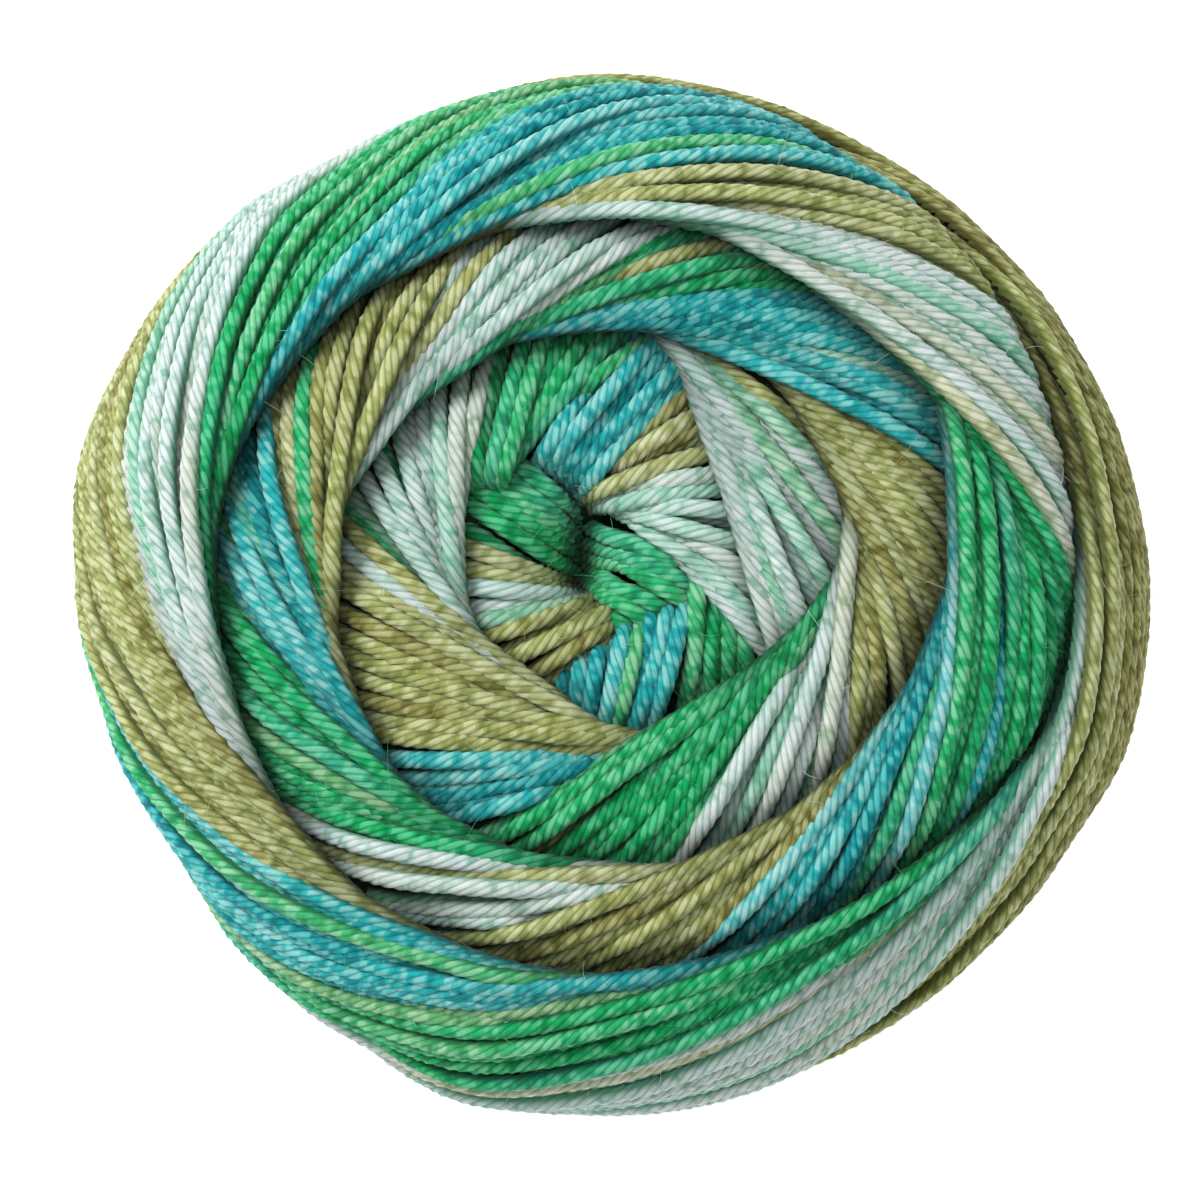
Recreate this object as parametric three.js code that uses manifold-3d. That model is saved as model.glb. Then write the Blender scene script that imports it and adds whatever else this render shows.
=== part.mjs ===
import * as THREE from 'three';
import { mergeVertices } from 'three/addons/utils/BufferGeometryUtils.js';
import Module from 'manifold-3d';

// A yarn cake: one long strand wound into a squat ball. Millimetres, +Z is the winding axis.
// Every turn of the yarn is a tilted loop around the middle of the cake. It touches a small
// tangent circle on the top, runs over the rim, and touches the same circle below, half a
// turn further on. Turns laid side by side in one dye make a band, a long crescent that
// comes out from under the next one.

const cakeWidth = 109.4;          // widest, across the rim
const finishedHalfHeight = 46.4;  // half height that the last turns would have over the axis
const rimSquareness = 3.6;        // exponent of the side profile: 2 is an ellipse, more is squarer
const growthPerTurn = 0.033;      // how much higher each turn lies than the one before it
const growthAtRim = 0.008;        // the same, out at the rim
const bandRoot = 0.8;             // share of the way out from the middle at which bands are rooted
const bandCrown = 1.5;            // how far a band's edges drop below its middle
const innerRound = 1.7;           // how far a band drops where it turns over its tangent circle
const innerRoundAngle = 13;       // degrees of the loop over which it drops
const pitDepth = 8.5;             // centre pit that the yarn was drawn around
const pitWidth = 6.2;
const pitCentre = { x: -2.7, y: 4.9 };
const flatDepth = 3.2;            // taken off the lowest turns, for the spot that it rests on
const coreSink = 2.3;             // the inner body lies this far under the first band
const crossingGap = 2.5;          // degrees that a band keeps from where its turns cross
const coreSteps = 24;
const coreSides = 40;

// How far the rim stands from the axis, every 30 degrees from +X, as a share of the half width.
const rimShares = [1.008, 0.985, 0.963, 0.968, 0.961, 1.003, 0.995, 0.941, 0.956, 0.968, 0.965, 0.980];

// Where a band's cross sections lie, as shares of its width, and how far it has sunk there.
const acrossShares = [0, 0.22, 0.78, 1];
const acrossSink = [1, 0, 0, 1];

// Where a band's steps lie along the half loop that it shows, as shares of its length.
const alongShares = [0, 0.04, 0.12, 0.22, 0.33, 0.44, 0.55, 0.66, 0.77, 0.88, 0.96, 1];

// One row per band, in the order they were wound.
// fromAngle, fromReach: azimuth and distance from the axis where its first turn touches the
// tangent circle. toAngle, toReach: the same for its last turn. turns: turns side by side.
// start, end: degrees along the loop between which the band is modelled, where its turns
// don't cross one another on a tangent circle.
const bands = [
  { name: 'core chords', fromAngle: 57, fromReach: -4.4, toAngle: 57, toReach: 5.4, turns: 7, start: -84, end: 84 },
  { name: 'left spokes', fromAngle: 249, fromReach: 0.3, toAngle: 302, toReach: 0.3, turns: 9, start: 5, end: 110 },
  { name: 'centre fan', fromAngle: 355, fromReach: -2.9, toAngle: 343, toReach: 7.9, turns: 8, start: -5, end: 50 },
  { name: 'right wedge', fromAngle: 352, fromReach: 9.6, toAngle: 381, toReach: 14.8, turns: 9 },
  { name: 'small pale fan', fromAngle: 400, fromReach: 7.8, toAngle: 466, toReach: 9.9, turns: 8 },
  { name: 'inner top', fromAngle: 467, fromReach: 11.0, toAngle: 495, toReach: 9.0, turns: 7 },
  { name: 'inner top fan', fromAngle: 496, fromReach: 8.2, toAngle: 501, toReach: 13.8, turns: 8 },
  { name: 'inner top left', fromAngle: 492, fromReach: 16.9, toAngle: 547, toReach: 12.3, turns: 13 },
  { name: 'inner left', fromAngle: 532, fromReach: 15.8, toAngle: 588, toReach: 12.8, turns: 13 },
  { name: 'broad right', fromAngle: 736, fromReach: 14.3, toAngle: 770, toReach: 25.3, turns: 14 },
  { name: 'inner lower left', fromAngle: 590, fromReach: 11.4, toAngle: 634, toReach: 14.9, turns: 12 },
  { name: 'inner bottom', fromAngle: 635, fromReach: 15.7, toAngle: 662, toReach: 17.8, turns: 10 },
  { name: 'inner lower right', fromAngle: 663, fromReach: 14.1, toAngle: 690, toReach: 19.5, turns: 12 },
  { name: 'lower right', fromAngle: 692, fromReach: 19.8, toAngle: 717, toReach: 24.8, turns: 9 },
  { name: 'right slope', fromAngle: 720, fromReach: 25.5, toAngle: 782, toReach: 28.2, turns: 16 },
  { name: 'middle top right', fromAngle: 785, fromReach: 27.2, toAngle: 821, toReach: 27.6, turns: 12 },
  { name: 'middle top', fromAngle: 823, fromReach: 28.1, toAngle: 847, toReach: 27.5, turns: 10 },
  { name: 'middle top left', fromAngle: 849, fromReach: 27.9, toAngle: 867, toReach: 28.3, turns: 7 },
  { name: 'middle left', fromAngle: 872, fromReach: 28.7, toAngle: 917, toReach: 28.0, turns: 11 },
  { name: 'middle lower left', fromAngle: 919, fromReach: 28.0, toAngle: 943, toReach: 28.6, turns: 10 },
  { name: 'lower left', fromAngle: 945, fromReach: 28.6, toAngle: 984, toReach: 27.5, turns: 15 },
  { name: 'middle bottom', fromAngle: 984, fromReach: 27.8, toAngle: 1011, toReach: 29.9, turns: 9 },
  { name: 'middle lower right', fromAngle: 1014, fromReach: 28.4, toAngle: 1041, toReach: 29.9, turns: 11 },
  { name: 'middle right', fromAngle: 1044, fromReach: 30.2, toAngle: 1066, toReach: 33.9, turns: 9 },
  { name: 'upright right', fromAngle: 1074, fromReach: 34.4, toAngle: 1090, toReach: 47.2, turns: 12 },
  { name: 'outer top right', fromAngle: 1128, fromReach: 37.8, toAngle: 1172, toReach: 39.2, turns: 13 },
  { name: 'outer top', fromAngle: 1174, fromReach: 39.3, toAngle: 1196, toReach: 39.3, turns: 7 },
  { name: 'outer top left', fromAngle: 1198, fromReach: 39.4, toAngle: 1237, toReach: 40.8, turns: 12 },
  { name: 'outer upper left', fromAngle: 1239, fromReach: 40.9, toAngle: 1267, toReach: 40.2, turns: 10 },
  { name: 'outer left', fromAngle: 1269, fromReach: 40.1, toAngle: 1294, toReach: 40.1, turns: 9 },
  { name: 'outer lower left', fromAngle: 1296, fromReach: 40.1, toAngle: 1335, toReach: 39.3, turns: 11 },
  { name: 'rim lower left', fromAngle: 1337, fromReach: 39.2, toAngle: 1366, toReach: 38.6, turns: 10 },
  { name: 'outer bottom', fromAngle: 1368, fromReach: 38.8, toAngle: 1388, toReach: 42.8, turns: 14 },
  { name: 'outer lower right', fromAngle: 1390, fromReach: 43.0, toAngle: 1426, toReach: 45.8, turns: 8 },
  { name: 'rim right', fromAngle: 1428, fromReach: 46.0, toAngle: 1446, toReach: 50.4, turns: 9 },
];

const yarnColour = 0x4fb08a;
const yarnRoughness = 0.9;

const wasm = await Module();
wasm.setup();

const radians = THREE.MathUtils.degToRad;
const lerp = THREE.MathUtils.lerp;
const allTurns = bands.reduce((sum, band) => sum + band.turns, 0);

// Height of the side profile at a share of its radius, as a share of its half height.
function profileHeight(share) {
  return (1 - share ** rimSquareness) ** (1 / rimSquareness);
}

// Share of the half width at which the rim stands at an azimuth, drawn smoothly through the table.
function rimShare(azimuth) {
  const spacing = (2 * Math.PI) / rimShares.length;
  const place = (azimuth / spacing + rimShares.length) % rimShares.length;
  const index = Math.floor(place);
  const blend = (1 - Math.cos(Math.PI * (place - index))) / 2;
  return lerp(rimShares[index], rimShares[(index + 1) % rimShares.length], blend);
}

// Distance from the middle of the cake to its surface, in a direction of length 1, when a
// given turn is laid. The rim is not quite round, and the yarn dips into a pit on top.
function surfaceDistance(direction, turnNumber) {
  const halfWidth = cakeWidth / 2 - (allTurns - turnNumber) * growthAtRim;
  const halfHeight = finishedHalfHeight - (allTurns - turnNumber) * growthPerTurn;
  const outward = Math.hypot(direction.x, direction.y);
  const shareOut = outward / halfWidth;
  const shareUp = Math.abs(direction.z) / halfHeight;
  const distance = (shareOut ** rimSquareness + shareUp ** rimSquareness) ** (-1 / rimSquareness);
  const stretch = 1 + (rimShare(Math.atan2(direction.y, direction.x)) - 1) * outward ** 2;
  const offCentre = Math.hypot(direction.x * distance - pitCentre.x, direction.y * distance - pitCentre.y);
  const dip = direction.z > 0 ? pitDepth * Math.exp(-((offCentre / pitWidth) ** 2)) : 0;
  return distance * stretch - dip;
}

// How far a loop's tangent point leans from the axis, seen from the middle of the cake.
function leanAngle(reach, turnNumber) {
  const halfHeight = finishedHalfHeight - (allTurns - turnNumber) * growthPerTurn;
  return Math.atan2(reach, halfHeight * profileHeight(Math.abs(reach) / (cakeWidth / 2)));
}

// Direction of a point on the loop that touches its tangent circle at an azimuth and a reach.
function loopDirection(azimuth, reach, alongAngle, turnNumber) {
  const lean = leanAngle(reach, turnNumber);
  const flatLean = Math.sin(lean);
  const toTangent = new THREE.Vector3(flatLean * Math.cos(azimuth), flatLean * Math.sin(azimuth), Math.cos(lean));
  const onward = new THREE.Vector3(Math.sin(azimuth), -Math.cos(azimuth), 0);
  return toTangent.multiplyScalar(Math.cos(alongAngle)).addScaledVector(onward, Math.sin(alongAngle));
}

// Degrees along the loop at which neighbouring turns of a band cross one another on top. They
// cross again half a loop later, so this is where the crescent that the band shows begins.
function crossingAngle(band, firstTurn) {
  const fromLean = leanAngle(band.fromReach, firstTurn);
  const toLean = leanAngle(band.toReach, firstTurn + band.turns);
  const leanRate = (toLean - fromLean) / radians(band.toAngle - band.fromAngle);
  return THREE.MathUtils.radToDeg(Math.atan2(-leanRate, Math.cos((fromLean + toLean) / 2)));
}

// A closed geometry as a manifold solid, with its faces pointing out.
function solidOf(geometry) {
  geometry.deleteAttribute('normal');
  geometry.deleteAttribute('uv');
  const merged = mergeVertices(geometry, 1e-4);
  const triVerts = Uint32Array.from(merged.index.array);
  const vertProperties = Float32Array.from(merged.attributes.position.array);
  const mesh = new wasm.Mesh({ numProp: 3, vertProperties, triVerts });
  return new wasm.Manifold(mesh);
}

// Turns every triangle of a geometry over, for a shape that has been bent inside out.
function flipFaces(geometry) {
  const index = geometry.index.array;
  for (let first = 0; first < index.length; first += 3) {
    const kept = index[first];
    index[first] = index[first + 1];
    index[first + 1] = kept;
  }
}

// One band: a box whose width runs across the turns, whose height runs along them and whose
// depth runs down into the cake, bent onto the loops. side is 1 for the arm that trails
// clockwise from the tangent circle and -1 for the arm that leads from it.
function bandSolid(band, firstTurn, side) {
  const steps = alongShares.length - 1;
  const columns = acrossShares.length - 1;
  const crossing = crossingAngle(band, firstTurn);
  const start = band.start ?? side * crossing + crossingGap;
  const end = band.end ?? side * crossing + 180 - crossingGap;
  const box = new THREE.BoxGeometry(1, 1, 1, columns, steps, 1);
  const positions = box.attributes.position;
  for (let vertex = 0; vertex < positions.count; vertex += 1) {
    const column = Math.round((positions.getX(vertex) + 0.5) * columns);
    const row = Math.round((positions.getY(vertex) + 0.5) * steps);
    const isDeep = positions.getZ(vertex) < 0;
    const share = acrossShares[column];
    const along = lerp(start, end, alongShares[row]);
    const nearTangent = Math.max(0, 1 - (along - start) / innerRoundAngle, 1 - (end - along) / innerRoundAngle);
    const roundOff = band.start === undefined ? innerRound * nearTangent ** 2 : 0;
    const sink = bandCrown * acrossSink[column] + roundOff;
    const turnNumber = firstTurn + share * band.turns;
    const azimuth = radians(lerp(band.fromAngle, band.toAngle, share));
    const reach = lerp(band.fromReach, band.toReach, share);
    const direction = loopDirection(azimuth, reach, radians(side * along), turnNumber);
    const root = bandRoot * surfaceDistance(direction, 0);
    const distance = isDeep ? root : surfaceDistance(direction, turnNumber) - sink;
    positions.setXYZ(vertex, direction.x * distance, direction.y * distance, direction.z * distance);
  }
  flipFaces(box);
  return solidOf(box);
}

// The smooth body under the first band, a ball drawn out to the surface that it started on.
function coreSolid() {
  const ball = new THREE.SphereGeometry(1, coreSides, coreSteps);
  ball.rotateX(Math.PI / 2);
  const positions = ball.attributes.position;
  for (let vertex = 0; vertex < positions.count; vertex += 1) {
    const direction = new THREE.Vector3().fromBufferAttribute(positions, vertex);
    const distance = surfaceDistance(direction, 0) - coreSink;
    positions.setXYZ(vertex, direction.x * distance, direction.y * distance, direction.z * distance);
  }
  return solidOf(ball);
}

// Everything below the flat spot, as a box to cut away.
function belowFlat(height) {
  const block = new THREE.BoxGeometry(2 * cakeWidth, 2 * cakeWidth, cakeWidth);
  block.translate(0, 0, height - cakeWidth / 2);
  return solidOf(block);
}

function woundCake() {
  let cake = coreSolid();
  let turnNumber = 0;
  for (const band of bands) {
    cake = cake.add(bandSolid(band, turnNumber, 1));
    turnNumber += band.turns;
  }
  const lastBand = bands[bands.length - 1];
  cake = cake.add(bandSolid(lastBand, allTurns - lastBand.turns, -1));
  const lowest = cake.boundingBox().min[2];
  return cake.subtract(belowFlat(lowest + flatDepth));
}

// The finished solid as a geometry, standing on z = 0 with its box centred on the axis.
function standingGeometry(solid) {
  const mesh = solid.getMesh();
  const geometry = new THREE.BufferGeometry();
  geometry.setAttribute('position', new THREE.BufferAttribute(Float32Array.from(mesh.vertProperties), 3));
  geometry.setIndex(new THREE.BufferAttribute(Uint32Array.from(mesh.triVerts), 1));
  geometry.computeBoundingBox();
  const { min, max } = geometry.boundingBox;
  geometry.translate(-(min.x + max.x) / 2, -(min.y + max.y) / 2, -min.z);
  geometry.computeVertexNormals();
  return geometry;
}

const yarn = new THREE.MeshStandardMaterial({ color: yarnColour, roughness: yarnRoughness, metalness: 0 });
const cake = new THREE.Mesh(standingGeometry(woundCake()), yarn);
cake.name = 'yarn_cake';

const model = new THREE.Group();
model.add(cake);

export default model;
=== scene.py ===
import math
import bpy
import numpy as np
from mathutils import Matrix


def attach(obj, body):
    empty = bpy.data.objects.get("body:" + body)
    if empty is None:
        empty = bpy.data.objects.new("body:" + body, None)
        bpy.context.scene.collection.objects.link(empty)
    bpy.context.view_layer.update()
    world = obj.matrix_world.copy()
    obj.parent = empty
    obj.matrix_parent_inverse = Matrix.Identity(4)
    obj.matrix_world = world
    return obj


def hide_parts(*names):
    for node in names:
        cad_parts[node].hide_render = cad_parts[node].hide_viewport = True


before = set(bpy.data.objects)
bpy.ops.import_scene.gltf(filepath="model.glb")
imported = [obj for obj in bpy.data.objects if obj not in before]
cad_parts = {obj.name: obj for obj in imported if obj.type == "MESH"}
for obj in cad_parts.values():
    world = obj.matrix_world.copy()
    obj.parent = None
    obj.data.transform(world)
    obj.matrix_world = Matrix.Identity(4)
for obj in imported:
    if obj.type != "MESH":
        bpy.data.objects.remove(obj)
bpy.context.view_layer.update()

mm = 0.001

# The cake is one long strand. Every turn of it is a tilted loop around the middle of the cake:
# it touches a small tangent circle on the top, runs over the rim, and touches the same circle
# below, half a turn further on. Later turns lie over earlier ones.

cake = {
    "width": 109.2,             # mm across the middle of the strands at the rim
    "halfHeight": 46.4,         # mm from the middle up to the last turns, if they went over the axis
    "squareness": 3.6,          # side profile: 2 is an ellipse, more is squarer
    "growthPerTurn": 0.033,     # mm higher for each turn
    "growthAtRim": 0.008,       # mm further out for each turn
    "pitDepth": 8.5, "pitWidth": 6.2, "pitX": -2.7, "pitY": 4.9,    # mm, the pit in the top
    "lift": 37.0,               # mm from the ground to the middle of the cake
    # how far the rim stands from the axis, every 15 degrees from +X, as a share of half the width
    "rimShares": [1.008, 0.997, 0.982, 0.968, 0.960, 0.966, 0.975, 0.968, 0.966, 0.998, 1.008, 1.021,
                  0.996, 0.966, 0.943, 0.953, 0.957, 0.983, 0.966, 0.963, 0.956, 0.959, 0.973, 1.008],
}

# One row per band in the order wound: azimuth and reach of the tangent point of its first turn,
# the same for its last turn, and a letter for the dye of each turn.
bands = [
    ("coreChords", 57, -4.4, 57, 5.8, "GGgGGgGG"),
    ("leftSpokes", 249, 0.3, 296, 0.3, "oowwmoO"),
    ("lowerSpokes", 297, 1.4, 316, 6.4, "oOoOoO"),
    ("centreFan", 355, -2.9, 343, 7.9, "ttTttgTtt"),
    ("rightWedge", 352, 9.6, 381, 14.8, "ggGgGGgGgGg"),
    ("smallPaleFan", 400, 7.8, 466, 9.9, "wmwwmwwmwo"),
    ("innerTop", 467, 11.0, 495, 9.0, "ooOooOo"),
    ("innerTopFan", 496, 8.2, 501, 13.8, "tTttTttt"),
    ("innerTopLeft", 492, 16.9, 547, 12.3, "gGGgGGGgGGgGG"),
    ("innerLeft", 532, 15.8, 588, 12.8, "wwwmwwwgwwmgw"),
    ("broadRight", 736, 14.3, 770, 25.3, "wwmwwwmwwmwwmo"),
    ("innerLowerLeft", 590, 11.4, 634, 14.9, "owooOoooOooO"),
    ("innerBottom", 635, 15.7, 662, 17.8, "tttTtttmto"),
    ("innerLowerRight", 663, 14.1, 690, 19.5, "gGGgGGGgGGgG"),
    ("lowerRight", 692, 19.8, 717, 24.8, "wwmwwwmww"),
    ("rightSlope", 720, 25.5, 782, 28.2, "ooOoooOooOoooOoo"),
    ("middleTopRight", 785, 27.2, 821, 27.6, "ttTttmttTttt"),
    ("middleTop", 823, 28.1, 847, 27.5, "GgGsGGosGG"),
    ("middleTopLeft", 849, 27.9, 867, 28.3, "wwmwwmw"),
    ("middleLeft", 872, 28.7, 917, 28.0, "owooOooOgoo"),
    ("middleLowerLeft", 919, 28.0, 943, 28.6, "ttTtltgttT"),
    ("lowerLeft", 945, 28.6, 984, 27.5, "gGGgGGgGGsGgGGg"),
    ("middleBottom", 984, 27.8, 1011, 29.9, "wwowmwwow"),
    ("middleLowerRight", 1014, 28.4, 1041, 29.9, "ooOooOooooO"),
    ("middleRight", 1044, 30.2, 1066, 33.9, "lttTttTtG"),
    ("uprightRight", 1074, 34.4, 1090, 47.2, "lgGGTGGGgGGG"),
    ("underRight", 1098, 42.5, 1124, 38.4, "GgGGG"),
    ("outerTopRight", 1128, 37.8, 1172, 39.2, "gcmwwwcmwwmmwmww"),
    ("outerTop", 1174, 39.3, 1196, 39.3, "oooOoooO"),
    ("outerTopLeft", 1198, 39.4, 1237, 40.8, "ttgtTttotttTtttt"),
    ("outerUpperLeft", 1239, 40.9, 1267, 40.2, "GgGsGGgGGGgs"),
    ("outerLeft", 1269, 40.1, 1294, 40.1, "wwmwwwwmww"),
    ("outerLowerLeft", 1296, 40.1, 1335, 39.3, "oooOooooOooOoo"),
    ("rimLowerLeft", 1337, 39.2, 1366, 38.6, "tttgttTttttt"),
    ("outerBottom", 1368, 38.8, 1388, 42.8, "ssgGGgGGgGGgGG"),
    ("outerLowerRight", 1388, 43.4, 1422, 48.0, "wcmwswwmwgwmwwww"),
    ("rimRight", 1430, 49.0, 1446, 53.6, "ooOooOoOOoOOOO"),
]

strand = {
    "width": 1.9,               # mm
    "plies": 6,
    "pitch": 8.6,               # mm along the strand for one full turn of its twist
    "ridge": 1.05, "valley": 0.87,      # ply crowns and the grooves between, as shares of half the width
    "flatten": 0.93,            # pressed a little flat against the cake
    "samples": 368,             # rings around a whole loop
    "smooth": 1.3,              # rings over which bends are rounded
    "seam": 0.53,               # where a loop that shows all round starts, as a share of its length
    "overlap": 6,               # rings that its end runs into its start
    "dive": 2.5,                # mm that a fully covered strand lies under the one over it
    "diveEase": 2.2, "diveCurve": 1.15,     # rings that it takes to go under, and how late it does
    "mound": 1.1, "moundEase": 7.7,     # mm more, and the rings it takes, so that each band bulges
    "sinkLean": (0.4, 0.4, 1),  # strands sink more downward than inward
    "wander": 0.3,              # mm that a strand strays sideways
    "wanderWaves": (2, 5), "quickShare": 0.5,   # its waves round the cake, and the size of the quick ones
    # waves in the tightness of the twist: size in radians, mm for each radian, start
    "loosen": ((0.35, 5.3, 3), (0.2, 2.1, 7)),
    "swell": 0.035,             # how much the plies vary in thickness
    "lumps": ((1, 0.9), (0.8, 2.3)),    # waves in it: size, radians for each mm
    "pads": (7, 3), "centrePad": 10,    # rings kept past the last visible one, above and below
    "padsFrom": 5,              # mm over the middle where it counts as above
    "leastShown": 0.2,          # stretches that show less of their width than this are left out
    "backFrom": 0.86,           # how far round the side that faces into the cake starts; it is left open
    "patternLength": 10,        # mm along the strand for each unit of its own coordinates
}

# How far single turns stray from an even spacing: degrees, mm and a share of the dye ramp.
scatter = {"azimuth": 0.35, "reach": 0.22, "dye": 0.012}

# Places across a strand that are tested for a later turn over them, how far out the last ones lie
# as a share of its width, and how near a later turn has to pass, in half widths.
covering = {"places": 7, "outermost": 0.42, "nearest": 0.97}

# The first turns come up out of the hole in the middle: how many mm past their tangent points
# they show, for the first and the last turn of a band.
tucks = {
    "leftSpokes": (5.3, 1.0), "lowerSpokes": (0.5, 3.5), "centreFan": (7.3, -1.5), "rightWedge": (-11, -6),
    "smallPaleFan": (-5, 1.5), "innerTop": (5.5, 8), "innerTopFan": (6, 6.6), "innerTopLeft": (1, 12.5),
}

# mm that they drop, the length they take for it, the share of it dropped where they come out, and
# how far inside they no longer show.
tuckBend = {"depth": 9, "length": 5.5, "lead": 0.25, "hiddenFrom": 0.5}

# The chords across the middle sag into the hole: for the first and the last one, how far along
# it the sag lies and how wide it is to each side, and its depth.
sag = {"place": (-1.2, -6.0), "width": (2.6, 1.9), "depth": 7.6}

# Painted shade, which darkens the colour of the yarn: mm down the hole where it starts and its way to
# full, how late it comes where turns dive under others, and the rings over which it is eased.
shade = {"from": 1.5, "over": 7.0, "curve": 1.6, "ease": 1.0}

dyes = {                        # place of each dye along the dye ramp
    "t": 0.08, "T": 0.02, "l": 0.15, "G": 0.27, "g": 0.37, "s": 0.46,
    "m": 0.55, "w": 0.65, "c": 0.74, "o": 0.84, "O": 0.95,
}

rng = np.random.default_rng(41)
turnCount = sum(len(row[5]) for row in bands)
halfStrand = strand["width"] / 2
lift = cake["lift"]
lowestCentre = halfStrand * strand["ridge"] * strand["flatten"] - lift      # strands lie flat on the ground
farOff = 99                     # mm, outside the cake


# Depth of the pit in the middle of the top under or over a place.
def pitAt(x, y):
    away = np.hypot(x - cake["pitX"], y - cake["pitY"])
    return cake["pitDepth"] * np.exp(-(away / cake["pitWidth"]) ** 2)


# The table of rim shares, read smoothly at any azimuth in radians.
def rimShare(azimuth):
    shares = np.array(cake["rimShares"])
    place = (azimuth / (2 * math.pi) * len(shares)) % len(shares)
    index = np.floor(place).astype(int)
    blend = place - index
    blend = blend * blend * (3 - 2 * blend)
    return shares[index % len(shares)] * (1 - blend) + shares[(index + 1) % len(shares)] * blend


# Distance from the middle of the cake to its surface in a direction, when a given turn is laid.
def surfaceDistance(direction, turn):
    x, y, z = direction[..., 0], direction[..., 1], direction[..., 2]
    halfWidth = cake["width"] / 2 - (turnCount - turn) * cake["growthAtRim"]
    halfHeight = cake["halfHeight"] - (turnCount - turn) * cake["growthPerTurn"]
    outward = np.hypot(x, y)
    power = cake["squareness"]
    distance = ((outward / halfWidth) ** power + (np.abs(z) / halfHeight) ** power) ** (-1 / power)
    stretch = 1 + (rimShare(np.arctan2(y, x)) - 1) * outward ** 2
    return distance * stretch - np.where(z > 0, pitAt(x * distance, y * distance), 0)


# Outward normal of the smooth form at points on it.
def surfaceNormal(points):
    power = cake["squareness"]
    halfWidth, halfHeight = cake["width"] / 2, cake["halfHeight"]
    outward = np.maximum(np.hypot(points[:, 0], points[:, 1]), 1e-6)
    slope = (outward / halfWidth) ** (power - 1) / halfWidth
    normal = np.empty_like(points)
    normal[:, 0] = points[:, 0] / outward * slope
    normal[:, 1] = points[:, 1] / outward * slope
    normal[:, 2] = np.sign(points[:, 2]) * (np.abs(points[:, 2]) / halfHeight) ** (power - 1) / halfHeight
    return unit(normal)


def unit(vectors):
    return vectors / np.maximum(np.linalg.norm(vectors, axis=-1, keepdims=True), 1e-9)


# The table of turns: where each touches its tangent circle, and its dye.
def windTurns():
    azimuth, reach, dye, bandOf, tuck, sagAt = [], [], [], [], [], []
    for bandIndex, (name, fromAngle, fromReach, toAngle, toReach, letters) in enumerate(bands):
        for place, letter in enumerate(letters):
            share = place / (len(letters) - 1)
            azimuth.append(fromAngle + (toAngle - fromAngle) * share + rng.normal(0, scatter["azimuth"]))
            reach.append(fromReach + (toReach - fromReach) * share + rng.normal(0, scatter["reach"]))
            dye.append(dyes[letter] + rng.normal(0, scatter["dye"]))
            bandOf.append(bandIndex)
            first, last = tucks.get(name, (-farOff, -farOff))
            tuck.append(first + (last - first) * share)
            inMiddle = name == "coreChords"
            sagAt.append([np.interp(share, (0, 1), sag[part]) if inMiddle else farOff
                          for part in ("place", "width")])
    azimuth, reach = np.radians(azimuth), np.array(reach)
    cosA, sinA = np.cos(azimuth), np.sin(azimuth)
    lean = np.arctan2(reach, cake["halfHeight"])
    steepest = 0.97
    for step in range(8):       # until the middle of the strand passes at its reach
        direction = np.stack([np.sin(lean) * cosA, np.sin(lean) * sinA, np.cos(lean)], 1)
        distance = surfaceDistance(direction, np.arange(turnCount)) - halfStrand
        lean = np.arcsin(np.clip(reach / distance, -steepest, steepest))
    cosL, sinL = np.cos(lean), np.sin(lean)
    return {
        "toTangent": np.stack([sinL * cosA, sinL * sinA, cosL], 1),
        "onward": np.stack([sinA, -cosA, np.zeros(turnCount)], 1),
        "across": np.stack([cosL * cosA, cosL * sinA, -sinL], 1),
        "phase": rng.uniform(0, 2 * math.pi, (turnCount, 2)),
        "twist": rng.uniform(0, 2 * math.pi, turnCount),
        "seed": rng.uniform(0, 1, turnCount),
        "dye": np.array(dye), "band": np.array(bandOf), "tuck": np.array(tuck), "sag": np.array(sagAt),
    }


turns = windTurns()


# How far turns stray sideways where they pass an azimuth.
def strayAt(which, azimuth):
    phase = turns["phase"][which]
    slowWaves, quickWaves = strand["wanderWaves"]
    slow = np.sin(slowWaves * azimuth[:, None] + phase[None, :, 0])
    quick = np.sin(quickWaves * azimuth[:, None] + phase[None, :, 1])
    return strand["wander"] * (slow + strand["quickShare"] * quick)


# Values around a closed loop, blurred over so many rings.
def smoothRound(values, spread):
    reachOut = int(3 * spread)
    weights = np.exp(-0.5 * (np.arange(-reachOut, reachOut + 1) / spread) ** 2)
    padded = np.concatenate([values[-reachOut:], values, values[:reachOut]])
    return np.convolve(padded, weights / weights.sum(), mode="valid")


# Share of a turn's width that no later turn covers, at points along it.
def shownShare(number, direction, distance, azimuth):
    later = np.arange(number + 1, turnCount)
    if len(later) == 0:
        return np.ones(len(direction))
    offset = (direction @ turns["across"][later].T) * distance[:, None] - strayAt(later, azimuth)
    alike = turns["across"][later] @ turns["across"][number]
    past = (direction @ turns["onward"][later].T) * distance[:, None]
    offset[(past < turns["tuck"][later]) & (direction[:, 2:] > 0)] = farOff
    shown = np.zeros(len(direction))
    outermost = covering["outermost"]
    places = np.linspace(-outermost, outermost, covering["places"]) * strand["width"]
    for place in places:
        nearest = np.abs(offset + place * alike[None, :]).min(axis=1)
        shown += nearest > halfStrand * covering["nearest"]
    return shown / len(places)
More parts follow.
